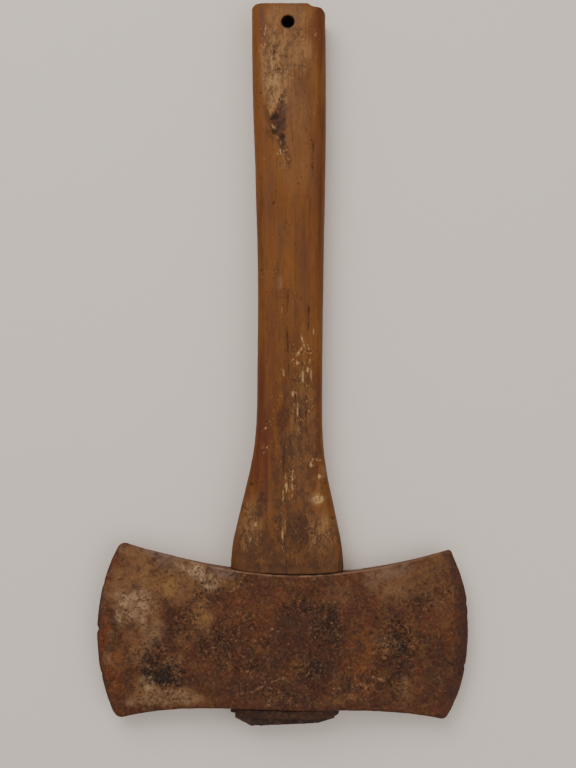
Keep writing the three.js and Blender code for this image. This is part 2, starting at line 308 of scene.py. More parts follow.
def cheek_side(bit, outward, share):
    """Half a cheek. outward is 0 to 1 on the flat, 1 to 2 on the taper and 2 to 3 on the bevel."""
    reach = row_reach(share, bit)[None, :]
    u = outward[:, None]
    flat = CHEEK_FLAT / 2
    x = np.where(u <= 1, u * flat, flat + (u - 1) * (reach - BEVEL_WIDTH - flat))
    x = np.where(u > 2, reach - BEVEL_WIDTH + (u - 2) * BEVEL_WIDTH, x)
    worn = round_off(RIM_ROUND, np.minimum(share, 1 - share) * WAIST_HEIGHT)[None, :]
    z = np.maximum(half_thickness(reach - x, reach) - worn, EDGE_THICKNESS / 2)
    x = bit.way * x
    y = bottom_side(x) + share[None, :] * (top_side(x) - bottom_side(x))
    return np.stack([x, y, z], axis=2)


def eye_half(x):
    """Half the eye's width at a distance along it, and nothing beyond its ends."""
    across = np.abs(x - EYE_OFFSET) / (EYE_LENGTH / 2)
    corner = np.clip((across - EYE_FLAT) / (1 - EYE_FLAT), 0, 1)
    half = EYE_WIDTH / 2 * (EYE_FLAT + (1 - EYE_FLAT) * np.sqrt(1 - corner ** 2))
    return np.where(across < 1, half, 0)


def head_piece():
    near = np.concatenate([
        RIM_ROUND * (1 - np.cos(np.linspace(0, math.pi / 2, 6))),
        np.linspace(RIM_ROUND, LEFT_BIT.top_corner, 4)[1:],
    ]) / WAIST_HEIGHT
    share = np.concatenate([near, np.linspace(near[-1], 1 - near[-1], HEAD_ROWS)[1:-1], 1 - near[::-1]])
    outward = np.concatenate([
        np.linspace(0, 1, FLAT_STEPS),
        np.linspace(1, 2, TAPER_STEPS)[1:],
        np.linspace(2, 3, BEVEL_STEPS)[1:],
    ])
    left = cheek_side(LEFT_BIT, outward[::-1], share)
    right = cheek_side(RIGHT_BIT, outward[1:], share)
    cheek = np.concatenate([left, right])
    sheets = [whole(cheek), whole(mirrored(cheek))]

    # The top and bottom sides run from each rim in to the eye, or to the middle beyond it.
    hollow = (eye_half(cheek[:, 0, 0]) > 0) & (eye_half(cheek[:, -1, 0]) > 0)
    across = np.linspace(0, 1, ACROSS_STEPS)[None, :]
    for rim in (cheek[:, 0], cheek[:, -1]):
        strip = np.repeat(rim[:, None], ACROSS_STEPS, 1)
        strip[..., 2] = rim[:, 2:3] * (1 - across) + (hollow * eye_half(rim[:, 0]))[:, None] * across
        sheets += [whole(strip), whole(mirrored(strip))]

    # The eye's two walls.
    up = np.linspace(0, 1, WALL_STEPS)[None, :, None]
    wall = cheek[:, None, 0] * (1 - up) + cheek[:, None, -1] * up
    wall[..., 2] = hollow[:, None] * eye_half(wall[..., 0])
    keep = np.repeat((hollow[:-1] | hollow[1:])[:, None], wall.shape[1] - 1, axis=1)
    sheets += [(wall, keep), (mirrored(wall), keep)]

    # The two cutting edges.
    sheets += [side_band(cheek[0], EDGE_STEPS), side_band(cheek[-1], EDGE_STEPS)]
    return solid("axe_head_detail", sheets)


# Where the head's colours change: x, y, half width, half height, strength, and any turn in degrees.
TAN_RUST = [
    (-93, 26, 18, 24, 0.9, 10), (-66, 34, 16, 14, 0.85, -20), (-53, 14, 8, 12, 0.9, 10),
    (-90, -2, 12, 9, 0.5), (-78, -34, 18, 7, 0.8, 4), (-60, -35, 12, 5, 0.7, -4),
    (-95, 50, 12, 8, 0.95, -20), (-40, 36, 10, 5, 0.6, -10), (-103, -14, 6, 7, 0.3),
    (-10, -36, 7, 7, 0.2), (60, 0, 9, 7, 0.45), (64, 36, 14, 11, 0.75, 5), (84, 40, 16, 10, 0.5, 10),
    (30, 28, 9, 8, 0.4), (-62, 2, 7, 6, 0.4), (72, -29, 6, 11, 0.55), (36, -33, 16, 3, 0.3, 4),
    (96, 22, 6, 16, 0.35), (-70, -14, 8, 6, 0.35), (96, 48, 6, 8, 0.5),
]
OCHRE = [
    (-60, 46, 7, 4, 0.95, -8), (-72, 32, 7, 6, 0.85, 20), (-86, 40, 10, 5, 0.45, -5),
    (-52, 13, 5, 7, 0.6), (-54, 24, 4, 5, 0.35), (-88, -29, 9, 7, 0.3), (45, -9, 10, 18, 0.15),
    (6, -13, 4, 4, 0.3),
]
PALE = [
    (-56, 41, 8, 4.6, 1, -35), (-48, 35, 6, 5.5, 0.95, -40), (-66, 44, 5, 3, 0.7, -10),
    (-73, 45, 9, 5, 0.45, -12), (-95, 17, 14, 13, 0.7, 8), (-84, 5, 9, 10, 0.5, -20),
    (-104.5, 13, 3.5, 8, 0.7), (-104, 55, 4, 4, 0.5), (-85, -28, 6, 7, 0.75, 25),
    (-76, -35, 13, 5, 0.55, 5), (-62, -34.5, 10, 4.6, 0.55, -4), (-93, -38, 7, 3.5, 0.5, 10),
    (-111, -12, 3, 5, 0.45), (-108, 2, 3, 3, 0.35), (-71, -14, 6, 5, 0.2), (-91, -10, 6, 6, 0.25),
    (-68, -22, 4, 5, 0.3), (-10, -33, 3, 6, 0.15), (-44, 38, 5, 4, 0.4), (60, 0.5, 6, 2.6, 0.4, -20),
    (72, -25, 3, 8, 0.45), (60, 44, 16, 4, 0.35, 16), (64, 31, 7, 5, 0.25),
]
SOOT = [
    (-86, -20, 4.2, 3.6, 0.9), (-76, -17.5, 4.6, 3, 0.7), (-75, -24, 7.2, 4.8, 1, -6),
    (-79, -22, 12, 8, 0.65, -4), (-84, -9, 3.4, 3, 0.6), (-66, -26, 5, 3.4, 0.6, 10),
    (-52, -4, 9, 6, 0.4), (-42, 0, 8, 8, 0.35), (25, 11, 8, 8, 0.45), (18, -16, 4.6, 5.6, 0.65),
    (9, 14, 14, 8, 0.3), (8, -34, 8, 4, 0.3), (67.5, 3.5, 2.4, 4.6, 0.85, 20), (70, -3, 2.4, 5, 0.95, 8),
    (69, -16, 3.4, 8, 0.5), (55, 12, 7, 6, 0.35), (31, 7, 6, 7, 0.3), (2, -27, 7, 6, 0.5),
    (86, 25, 3, 6, 0.35), (52, 26, 4, 5, 0.35),
]
# Dark rust. The wide rows low on the cheek, between y -26 and -35, are painted shade that makes the cheek
# darker towards the bottom.
DARK_RUST_AND_SHADE = [
    (14, 0, 27, 31, 0.95), (-71, 10, 5.5, 14, 0.9), (68, -10, 10, 17, 0.8), (-32, -8, 16, 18, 0.5),
    (108, 3, 5, 34, 1), (-116, 9, 3, 19, 0.4), (-14, -33, 32, 10, 0.75), (92, -26, 14, 12, 0.6),
    (20, -35, 27, 7, 0.5), (-4, 36, 34, 5, 0.25), (-44, 4, 9, 12, 0.4), (60, 14, 11, 8, 0.55),
    (-38, -19, 9, 9, 0.4), (-12, -17, 9, 9, 0.45), (86, 24, 6, 8, 0.45), (94, -6, 8, 12, 0.5),
    (34, -26, 9, 6, 0.5), (-100, -24, 5, 12, 0.35), (2, 29, 6, 4, 0.3), (-24, -27, 20, 8, 0.7),
    (13, -26, 14, 7, 0.65), (-60, -24, 9, 5, 0.5), (-67, -15, 6, 5, 0.5),
]
ORANGE_RUST = [
    (44, -10, 11, 19, 0.65), (98, 14, 8, 16, 0.4, 10), (-20, 16, 14, 15, 0.35), (-113, 8, 4, 17, 1),
    (4, -14, 8, 6, 0.5), (-105, -22, 7, 15, 0.65), (50, 16, 10, 10, 0.2), (-27, 25, 10, 8, 0.3),
    (14, -26, 6, 4, 0.35), (-60, -22, 10, 5, 0.3),
]
# Painted sheen: grey patches along the upper rims and the left edge, where the steel catches the light.
RIM_SHEEN = [
    (-80, 52, 12, 3, 0.8, -16), (-38, 42, 11, 4, 0.7, -4), (-60, 50, 8, 2, 0.5, -12),
    (-78, 46, 6, 3, 0.3, -10), (62, 42, 16, 5, 0.4, 18), (-116, 22, 3, 14, 0.3, 10),
]
# Where dark specks gather.
SPECKLED = [
    (-42, -2, 13, 16, 0.9), (-62, 8, 10, 12, 0.7), (-84, -8, 12, 8, 0.9), (24, 10, 12, 14, 0.9),
    (10, 22, 16, 6, 0.8), (16, -20, 9, 10, 0.8), (66, 0, 13, 16, 0.9), (72, -20, 10, 12, 0.8),
    (-50, 30, 10, 10, 0.7), (-75, -20, 14, 12, 1), (0, -32, 14, 8, 0.6), (-88, 24, 16, 18, 0.4),
    (-74, -34, 18, 6, 0.7), (90, 28, 14, 14, 0.35), (-20, 2, 16, 24, 0.35), (48, -24, 16, 10, 0.5),
]
HEAD_MARKS = {
    "tan": (TAN_RUST, 1), "ochre": (OCHRE, 1), "pale": (PALE, 1), "soot": (SOOT, 1), "dark": (DARK_RUST_AND_SHADE, 1),
    "orange": (ORANGE_RUST, 1), "rim_sheen": (RIM_SHEEN, 1), "speckled": (SPECKLED, 1),
}
SCRATCHES = [
    [(-29.4, -31), (-21, -29.6), (-14.6, -26.3)], [(-9, -23.4), (-4, -22), (-0.7, -21)],
    [(-14, -20.3), (-13, -24)], [(-11.2, -27), (-7, -28.6)], [(-4.6, -29), (-1.9, -32.2)],
    [(-9.8, -34), (-10.4, -37.6)], [(40, -27), (44, -24.4), (50, -25.6), (47, -28)],
    [(28, -27.6), (34, -26.6)], [(52, -20), (58, -22)], [(92, -20), (95, -24)],
    [(63, 4), (69, -1), (66, -6)], [(-46, 33), (-41, 37)], [(-36, 29), (-31, 33)],
]
# How far the right cutting edge stands out of its smooth arc: y and distance.
RIGHT_EDGE = [(-46, 0.2), (-30, 0.8), (-11, 0.2), (0, 0), (14, 0), (26, 0.8), (38, 0.5), (50, 0)]
# Nicks in the cutting edges: way, y, depth, width.
NICKS = [
    (-1, 5, 1, 1.3), (-1, -22, 0.5, 1), (-1, 33, 0.4, 1.2), (1, -14, 0.5, 1.1),
    (1, 24, 0.35, 1.6),
]

# Relief of the head
PITS = {"count": 3600, "smallest": 0.7, "largest": 1.9, "deepest": 0.42}
WAVE_HEIGHT, RIPPLE_HEIGHT, SCALE_HEIGHT, FLAKE_DEPTH, RUST_LOSS = 0.22, 0.1, 0.08, 0.16, 0.12
EDGE_LOSS, SCRATCH_WIDTH = 0.15, 0.5
# How fast the marks run on over the rims, and how far below a rim they start to.
HEAD_OVER, HEAD_OVER_START = 1.2, 2.5
# The lower cheek has an arrangement of its own: the same marks, shifted and scaled along x and y.
LOWER_CHEEK = (6, -0.94, -3, 0.9)


def rearranged(x, y, shift_x, scale_x, shift_y, scale_y):
    return shift_x + scale_x * x, shift_y + scale_y * y


def scatter_pits(co, weight, count, smallest, largest, deepest):
    """Round pits where the weight is high: how deep each point sinks, and how far it is in a pit."""
    tree = kdtree.KDTree(len(co))
    for i, p in enumerate(co.tolist()):
        tree.insert(p, i)
    tree.balance()
    depth, inside = np.zeros(len(co)), np.zeros(len(co))
    chosen = random.choices(range(len(co)), weights=np.maximum(weight, 0).tolist(), k=count)
    for i in chosen:
        radius = blend(smallest, largest, random.random() ** 2)
        deep = deepest * (0.3 + 0.7 * random.random()) * radius / largest
        for _, k, gap in tree.find_range(Vector(co[i]), radius):
            hollow = (1 - (gap / radius) ** 2) ** 2
            depth[k] = max(depth[k], deep * hollow)
            inside[k] = max(inside[k], hollow)
    return depth, inside


def finish_head(piece):
    co, normal = read(piece)
    x, y, z = co.T
    reach = np.where(x < 0, edge_reach(LEFT_BIT, y), edge_reach(RIGHT_BIT, y))
    back = reach - np.abs(x)
    half = half_thickness(np.maximum(back, 0), reach)

    over = y + HEAD_OVER * normal[:, 1] * np.maximum(half - np.abs(z) - HEAD_OVER_START, 0)
    upper, lower = (x, over), rearranged(x, over, *LOWER_CHEEK)
    ragged = 0.26 * noise(co, 13, 3, 3) + 0.2 * noise(co, 4, 4, 3)
    share = smoothstep(z / half + 0.3 * ragged, -0.3, 0.3)
    masks = both_faces(HEAD_MARKS, upper, lower, share, ragged)
    px, py = np.where(z < 0, lower, upper)
    clusters = smoothstep(noise(co, 14, 16, 3) + masks["speckled"], 0.0, 1.0)
    weight = (0.02 + clusters + masks["soot"]) * (np.abs(normal[:, 2]) > 0.5)
    deep, inside = scatter_pits(co, weight, **PITS)

    # Relief only sinks below the smooth form, and it fades out where the steel is thin.
    wave = WAVE_HEIGHT * noise(co, 38, 11, 2) + RIPPLE_HEIGHT * noise(co, 9, 12, 3)
    scale = SCALE_HEIGHT * noise(co, 3.0, 13, 3) * (0.6 + masks["pale"] + masks["soot"] + clusters)
    flakes = -FLAKE_DEPTH * smoothstep(noise(co, 7, 14, 4) + 0.4 * masks["soot"], 0.25, 0.5)
    firm = np.clip((np.abs(z) - 0.3) / 3, 0.05, 1)
    move = np.minimum(wave + scale + flakes - deep - RUST_LOSS, 0) * firm
    co = co + normal * move[:, None]
    for way, at, depth, width in NICKS:
        near = np.exp(-((y - at) / width) ** 2) * (1 - smoothstep(back, 0, 4)) * (np.sign(x) == way)
        co[:, 0] -= way * depth * near
    co[:, 0] -= np.sign(x) * EDGE_LOSS * (1 - smoothstep(back, 0, 5)) * (1 + noise(co, 4, 15, 3))

    co = skewed(*co.T)
    co[:, 0] += np.interp(co[:, 1], *zip(*RIGHT_EDGE)) * smoothstep(co[:, 0], 75, 110)
    co[:, 1] -= TOP_LEFT_WEAR * smoothstep(-co[:, 0], 70, 98) * smoothstep(co[:, 1], 25, 55)

    masks["pit"] = inside * clusters
    masks["speckled"] = np.maximum(masks["speckled"], 0.45 * clusters)
    # A painted highlight: a thin light line along the top rim, weaker towards the bits.
    masks["lip"] = np.exp(-((top_side(x) - y - 0.5) / 0.5) ** 2) * (1 - 0.5 * smoothstep(np.abs(x), 40, 90))
    # Painted shade on the bevels, stronger on the right one, and a thin dark line right at each cutting
    # edge.
    bevel = 1 - smoothstep(back + 3 * ragged, 3, 8)
    masks["edge"] = np.maximum(1 - smoothstep(back, 0.6, 1.6), bevel * np.where(x < 0, 0.2, 0.8))
    left_rust = np.where(x < 0, 0.8, 0) * (1 - smoothstep(back, 3, 6))
    masks["orange"] = np.maximum(masks["orange"], left_rust)
    masks["scratch"] = scratches(px + 1.2 * ragged, py - ragged, SCRATCHES, SCRATCH_WIDTH)
    write(piece, co, masks, 50)


# The haft's shape

GRIP_START = SHOULDER + SWELL_LENGTH
FLARE_START = HAFT_REACH - FLARE_LENGTH
END_RUN_START = HAFT_REACH - END_RUN
TENON_END = -WAIST_TOP - TENON_PROUD
SPLAY_START = -WAIST_TOP - FIT_GAP
HOLE_Y = HAFT_REACH - HOLE_FROM_END
HOLE_SIDES = 40
QUARTER_STEPS, FACE_STEPS, TENON_STEPS, LENGTH_STEPS, BAND_STEPS = 12, 45, 24, 390, 11


def haft_section(y):
    """Half width, half thickness, flat shares and fullness of the haft's section."""
    rise = np.clip((y - SHOULDER) / SHOULDER_RISE, 0, 1)
    free = np.sqrt(1 - (1 - rise) ** 2)
    swell = 1 - smoothstep(y, SHOULDER, GRIP_START)
    flare = smoothstep(y, FLARE_START, END_RUN_START)
    width = (blend(GRIP_WIDTH, SWELL_WIDTH, swell) + flare * (END_WIDTH - GRIP_WIDTH)) / 2
    thick = (blend(GRIP_THICKNESS, SWELL_THICKNESS, swell) + flare * (END_THICKNESS - GRIP_THICKNESS)) / 2
    end_wear = round_off(END_ROUND, HAFT_REACH - y)

    from_end = y - TENON_END
    splay = TENON_SPLAY * np.clip((SPLAY_START - y) / FIT_GAP, 0, 1)
    chamfer = TENON_CHAMFER * np.clip(1 - from_end / TENON_CHAMFER_RISE, 0, 1)
    tenon_wear = round_off(TENON_END_ROUND, from_end)
    tenon_width, tenon_thick = EYE_LENGTH / 2 - FIT_GAP, EYE_WIDTH / 2 - FIT_GAP
    return (
        blend(tenon_width, width, free) + splay - chamfer - end_wear,
        blend(tenon_thick, thick, free) + splay / 2 - tenon_wear - end_wear,
        blend(EYE_FLAT, blend(GRIP_FACE_FLAT, SWELL_FACE_FLAT, swell), free),
        blend(EYE_FLAT, SIDE_FLAT, free),
        blend(1, SQUARENESS, free),
    )


def haft_bow(y):
    """How far the haft's axis lies to the right."""
    along = np.clip((y - SHOULDER) / (HAFT_REACH - SHOULDER), 0, 1)
    return GRIP_BOW * np.sin(BOW_SHARE * math.pi * along)


def haft_sink(y):
    """How far the haft's axis lies below the head's middle plane, as a negative height."""
    return (END_THICKNESS - CHEEK_THICKNESS) / 2 * smoothstep(y, SHOULDER, END_RUN_START)


def bend_haft(co):
    """Skews the tenon, fits the swell to the head, bows the grip and breaks the end's corner."""
    x, y, z = co.T
    tenon = y < SHOULDER - FIT_GAP
    seat = top_side(x) - x * math.sin(SKEW) + FIT_GAP - SHOULDER
    fade = 1 - smoothstep(y, SHOULDER + SHOULDER_RISE, SHOULDER + SHOULDER_FADE)
    at_end = smoothstep(y, HAFT_REACH - BREAK_RUN, HAFT_REACH)
    broken = (END_DROP * smoothstep(x, BREAK_START, BREAK_END)
              + END_CORNER_DROP * smoothstep(x, CORNER_START, CORNER_END))
    return np.stack([
        np.where(tenon, x + (y - SHOULDER) * math.sin(SKEW), x + haft_bow(y)),
        np.where(tenon, y - x * math.sin(SKEW), y + seat * fade - broken * at_end),
        z + np.where(tenon, 0, haft_sink(y)) + MIDDLE,
    ], axis=1)


def haft_piece():
    quarter = np.linspace(0, 1, QUARTER_STEPS)
    rounded = np.ones(QUARTER_STEPS)
    face = np.linspace(-1, 1, FACE_STEPS)[1:-1]
    turn = np.concatenate([quarter, np.ones(len(face)), quarter[::-1]])
    hand = np.concatenate([-rounded, np.sign(face), rounded])
    across = np.concatenate([rounded, np.abs(face), rounded])
    stops = 1 - np.cos(np.linspace(0, math.pi / 2, 5))
    places = np.concatenate([
        TENON_END + TENON_END_ROUND * stops,
        [TENON_END + TENON_CHAMFER_RISE, SPLAY_START - FIT_GAP, SPLAY_START],
        np.linspace(SPLAY_START, SHOULDER, TENON_STEPS)[1:],
        SHOULDER + SHOULDER_RISE * stops[1:],
        np.linspace(SHOULDER + SHOULDER_RISE, HAFT_REACH - END_ROUND, LENGTH_STEPS)[1:],
        HAFT_REACH - END_ROUND * stops[::-1][1:],
    ])
    width, thick, flat, side, full = (v[None, :] for v in haft_section(places))
    angle = (turn * math.pi / 2)[:, None]
    along_x = np.where(turn[:, None] < 1, np.maximum(np.cos(angle), 0) ** full, 0)
    along_z = np.where(turn[:, None] > 0, np.maximum(np.sin(angle), 0) ** full, 0)
    x = hand[:, None] * width * (flat * across[:, None] + (1 - flat) * along_x)
    z = thick * (side + (1 - side) * along_z)
    top = np.stack([x, np.broadcast_to(places[None, :], x.shape), z], axis=2)
    return block("haft_detail", top, BAND_STEPS)


def cutter_box(corners):
    """A six-sided block from its eight corners."""
    mesh = bmesh.new()
    verts = [mesh.verts.new(p) for p in corners]
    for face in ((0, 1, 2, 3), (7, 6, 5, 4), (0, 4, 5, 1), (1, 5, 6, 2), (2, 6, 7, 3), (3, 7, 4, 0)):
        mesh.faces.new([verts[k] for k in face])
    bmesh.ops.recalc_face_normals(mesh, faces=mesh.faces)
    return mesh


def cut_haft(piece):
    """Saws the kerf and drills the hanging hole."""
    kerf = cutter_box([
        (x, y, MIDDLE + s * half / 2)
        for x in (-SWELL_WIDTH, SWELL_WIDTH)
        for y, half, s in (
            (TENON_END - TENON_PROUD, KERF_MOUTH, -1), (TENON_END + KERF_DEPTH, KERF_TIP, -1),
            (TENON_END + KERF_DEPTH, KERF_TIP, 1), (TENON_END - TENON_PROUD, KERF_MOUTH, 1))
    ])
    drill = bmesh.new()
    bmesh.ops.create_cone(drill, cap_ends=True, segments=HOLE_SIDES, radius1=HOLE_DIAMETER / 2,
                          radius2=HOLE_DIAMETER / 2, depth=2 * END_THICKNESS)
    bmesh.ops.translate(drill, verts=drill.verts, vec=(haft_bow(HOLE_Y) + HOLE_OFFSET, HOLE_Y, MIDDLE))
    bmesh.ops.bisect_plane(drill, geom=drill.verts[:] + drill.edges[:] + drill.faces[:],
                           plane_co=(0, 0, MIDDLE), plane_no=(0, 0, 1))
    for cutter_mesh in (kerf, drill):
        data = bpy.data.meshes.new("cutter")
        cutter_mesh.to_mesh(data)
        cutter_mesh.free()
        cutter = add("cutter", data)
        change = piece.modifiers.new("cut", "BOOLEAN")
        change.object = cutter
        change.solver = "EXACT"
        bpy.context.view_layer.update()
        seen = piece.evaluated_get(bpy.context.evaluated_depsgraph_get())
        result = bpy.data.meshes.new_from_object(seen)
        piece.modifiers.clear()
        piece.data = result
        bpy.data.objects.remove(cutter)


# Where the haft's colours change, in the same way.
WORN_TAN = [
    (-7, 352, 6, 22, 1), (-6, 362, 11, 30, 0.7), (7, 372, 9, 16, 0.45), (0, 394, 16, 10, 0.4),
    (5, 330, 8, 26, 0.25), (-8, 372, 5, 20, 0.55, 4), (22, 67, 10, 13, 0.5), (-24, 70, 8, 17, 0.5, -6),
    (19, 87, 5, 5, 0.7), (14, 92, 12, 10, 0.15), (3, 300, 14, 18, 0.1), (22, 103, 2.5, 5, 0.5),
    (-5, 222, 3, 6, 0.35, -12), (-8, 338, 3, 9, 0.7, -12), (9, 130, 9, 30, 0.2),
]
ORANGE_WOOD = [
    (-18, 335, 5, 75, 0.85), (-10, 275, 12, 45, 0.45), (15, 320, 7, 30, 0.4), (-14, 190, 6, 50, 0.5),
    (8, 260, 14, 40, 0.35), (-20, 120, 5, 40, 0.6, 12), (20, 125, 4, 30, 0.5, -8),
]
RED_WOOD = [
    (20, 385, 4, 24, 0.9), (-15, 389, 3, 13, 0.7), (15, 259, 2, 20, 0.7), (14.6, 229, 1.5, 9, 0.6),
    (20, 290, 3, 50, 0.4), (-17, 155, 4, 28, 0.6), (-17, 112, 11, 30, 1, 12), (-15, 125, 7, 24, 1),
    (17, 130, 4, 26, 0.6), (15, 142, 5, 38, 0.55), (15, 386, 5, 9, 0.5), (13, 98, 7, 12, 0.5),
    (-26, 84, 5, 12, 0.8, 12), (-28, 66, 4, 10, 0.6, 6), (-21, 56, 5, 5, 0.6), (-3, 137, 5, 9, 0.85),
    (-12, 62, 8, 14, 0.5), (-10, 190, 4, 30, 0.35), (16, 225, 4, 40, 0.4),
]
GREY_WOOD = [
    (5, 111, 10, 24, 0.85), (7, 76, 13, 20, 0.85), (-5, 90, 9, 26, 0.55), (-12, 54, 14, 9, 0.85),
    (10, 55, 20, 8, 0.7), (-4, 252, 2.6, 14, 0.8), (8, 145, 8, 20, 0.45), (0, 60, 25, 12, 0.5),
    (-27, 51, 8, 9, 0.75), (28, 51, 8, 10, 0.75), (-30, 68, 4, 14, 0.4), (31, 66, 4, 14, 0.4),
    (0, 46, 36, 4, 0.6), (4, 68, 31, 24, 0.5), (-4, 262, 2, 7, 0.6),
]
WOOD_STAIN = [
    (-5.2, 326, 4.2, 10, 0.95), (-3.6, 313, 2.8, 9, 0.8, 8), (-4.4, 337, 2.4, 8, 0.75, -14),
    (-8, 326, 2.6, 7, 0.8), (0.4, 303, 1.8, 10, 0.5, 10), (-1.8, 343, 1.6, 7, 0.5, -12),
    (-9, 372, 2.2, 8, 0.45, 10), (-6, 361, 2.2, 5, 0.5), (7.4, 383, 5, 5, 0.3), (5, 363, 4, 2, 0.35),
    (-16, 84, 3, 8, 0.7, -8), (7, 67, 7, 11, 0.65), (-27, 80, 2, 6, 0.4, -10), (2, 47, 34, 3, 0.35),
    (4, 53, 20, 5, 0.2), (-3, 137, 5, 8, 0.5), (-13, 54, 8, 8, 0.3), (15.5, 300, 1.4, 16, 0.5),
    (-1, 368, 1.2, 9, 0.4, 4), (-3, 355, 1, 8, 0.4),
]
OLD_PAINT = [
    (9, 172, 9, 16, 0.8), (8, 148, 9, 24, 0.6), (2, 96, 5, 14, 0.8), (22, 67, 9, 12, 0.7),
    (-23, 70, 7, 14, 0.6), (-13, 124, 6, 12, 0.5), (-13, 230, 9, 9, 0.5), (-3, 304, 6, 6, 0.7),
    (-7, 321, 5, 5, 0.6), (-5, 355, 14, 26, 0.6), (18, 382, 4, 8, 0.6), (3, 212, 7, 10, 0.5),
    (14, 330, 6, 14, 0.4), (-15, 378, 4, 20, 0.6), (0, 70, 30, 22, 0.4), (0, 130, 20, 40, 0.35),
    (-12, 300, 7, 6, 0.4),
]
# Solid scraps of cream paint.
CREAM = [
    (-0.6, 97, 0.7, 7, 1, 2), (3.4, 99, 0.8, 8, 0.9, -2), (-2.6, 88, 0.7, 5, 0.8),
    (3, 88, 0.6, 4, 0.6), (15.3, 108, 1.5, 2.4, 0.9, 12), (20.2, 101, 1.4, 1.6, 1),
    (19.4, 86.6, 4.2, 2.8, 1, 12), (18, 111, 4, 0.8, 0.8, -4), (9.5, 185, 0.7, 7, 0.8, 14),
    (13, 168, 0.7, 6, 0.9, -12), (5, 172, 1.6, 2.6, 0.9, 30), (8, 179, 0.8, 6, 0.8, -36),
    (14.6, 163, 0.6, 5, 0.8, 6), (-2.6, 166, 0.9, 4, 0.7, 10), (9.6, 163, 0.6, 5, 0.8),
    (16.4, 192, 0.6, 5, 0.6, -8), (3.6, 152, 1.3, 2.4, 0.6), (6.3, 142, 0.6, 6, 0.6),
    (-13.6, 130.6, 1.8, 0.9, 0.8, 8), (-9.8, 133, 0.6, 4, 0.7, 24), (-15, 118, 0.7, 4, 0.7, 30),
    (-13.4, 117, 0.7, 4, 0.7, -30), (-2.8, 63, 0.7, 8, 0.7), (-4.2, 306, 0.7, 3, 0.7, 10),
    (-2.4, 296, 0.7, 3, 0.5, -20), (-15, 303, 0.7, 3, 0.5, 20), (-13.6, 386, 0.7, 5, 0.6, -6),
    (18, 384, 0.7, 3, 0.6), (-9.6, 371, 0.7, 6, 0.5), (-3.4, 205, 0.7, 3, 0.5),
    (-20, 74, 0.8, 5, 0.6, 10), (-22, 62, 1.2, 3, 0.5), (-8.8, 322.4, 0.9, 1.6, 0.7, 20),
    (-4.6, 311.4, 0.8, 2.2, 0.7, -20), (-6, 315.4, 0.7, 1.4, 0.6), (24, 74, 0.8, 4, 0.5, -10),
    (-1.2, 71, 0.8, 6, 0.45), (27, 60, 0.9, 3, 0.5), (10, 190, 0.6, 4, 0.4),
]
# Where handling has left grime.
GRIME = [
    (0, 62, 38, 24, 1), (4, 108, 22, 36, 0.8), (6, 150, 16, 34, 0.6), (0, 382, 16, 8, 0.6),
    (-8, 368, 8, 20, 0.8), (10, 362, 8, 14, 0.5), (-8, 330, 9, 24, 0.8), (0, 200, 20, 26, 0.3),
]
HAFT_MARKS = {
    "worn_tan": (WORN_TAN, 1), "orange": (ORANGE_WOOD, 1), "red": (RED_WOOD, 1), "grey": (GREY_WOOD, 1.1),
    "stain": (WOOD_STAIN, 0.9), "paint": (OLD_PAINT, 0.7), "cream": (CREAM, 0.4), "grime": (GRIME, 1),
}
# Cracks along the grain: x, lower y, upper y, width, darkness.
CRACKS = [
    (0.4, 199, 219, 0.5, 0.9), (0.4, 158, 198, 0.6, 1), (13.6, 188, 211, 0.6, 1),
    (15.7, 293, 318, 0.5, 0.8), (-5.2, 158, 179, 0.4, 0.8), (8.6, 158, 190, 0.4, 0.8),
    (12.2, 150, 186, 0.4, 0.7), (16.5, 150, 178, 0.4, 0.6), (4.6, 128, 158, 0.4, 0.8),
    (8, 122, 156, 0.45, 0.8), (11.4, 118, 160, 0.5, 0.9), (1, 112, 150, 0.4, 0.6),
    (-2.4, 98, 124, 0.5, 0.8), (0.9, 88, 112, 0.45, 0.8), (4.8, 92, 110, 0.4, 0.7),
    (7.5, 215, 240, 0.4, 0.5), (6, 232, 262, 0.4, 0.35), (14.2, 236, 290, 0.45, 0.5),
    (-2, 330, 372, 0.4, 0.35), (2.6, 338, 384, 0.4, 0.35), (18.6, 360, 392, 0.45, 0.5),
    (-12, 170, 205, 0.4, 0.3), (-3.4, 62, 86, 0.45, 0.6), (12.5, 60, 84, 0.45, 0.5),
    (-20.5, 56, 88, 0.45, 0.5), (24, 52, 78, 0.4, 0.5), (-28, 50, 70, 0.4, 0.5),
    (-16, 86, 108, 0.4, 0.5),
]
# Dints: x, y, radius, strength.
DINTS = [
    (-12.6, 134.6, 1, 1), (-8.5, 273, 0.8, 0.8), (-16.6, 230.1, 0.8, 0.8), (7.2, 384.2, 0.7, 0.7),
    (9.4, 381.4, 0.6, 0.6), (5.6, 380.8, 0.7, 0.6), (-22.6, 96, 0.8, 0.8), (-28, 82, 0.8, 0.8),
    (-30.4, 71, 0.7, 0.6), (24.2, 97, 0.8, 0.8), (29, 75, 0.9, 0.8), (-25.6, 60, 0.8, 0.7),
    (-7.2, 328.6, 1.7, 0.8), (-9.6, 327.6, 1.2, 0.6), (-4.8, 324.6, 1, 0.6), (-7.6, 319, 1.6, 0.8),
    (-5.4, 321.2, 1, 0.6), (-2.8, 315.8, 1.7, 0.7),
]
# How far the uneven sides stand out of the smooth form: y and distance.
LEFT_SIDE = [
    (45, 0.6), (61, 0.7), (74, 0), (111, 0), (130, 0.35), (148, -0.1), (300, 0.1),
    (365, 0.8), (386, 0.6),
]
RIGHT_SIDE = [
    (45, 0.3), (60, 0), (72, -0.6), (98, -0.5), (130, 0.5), (172, 0.3), (250, 0.5),
    (380, 0.6), (405, 0.9),
]

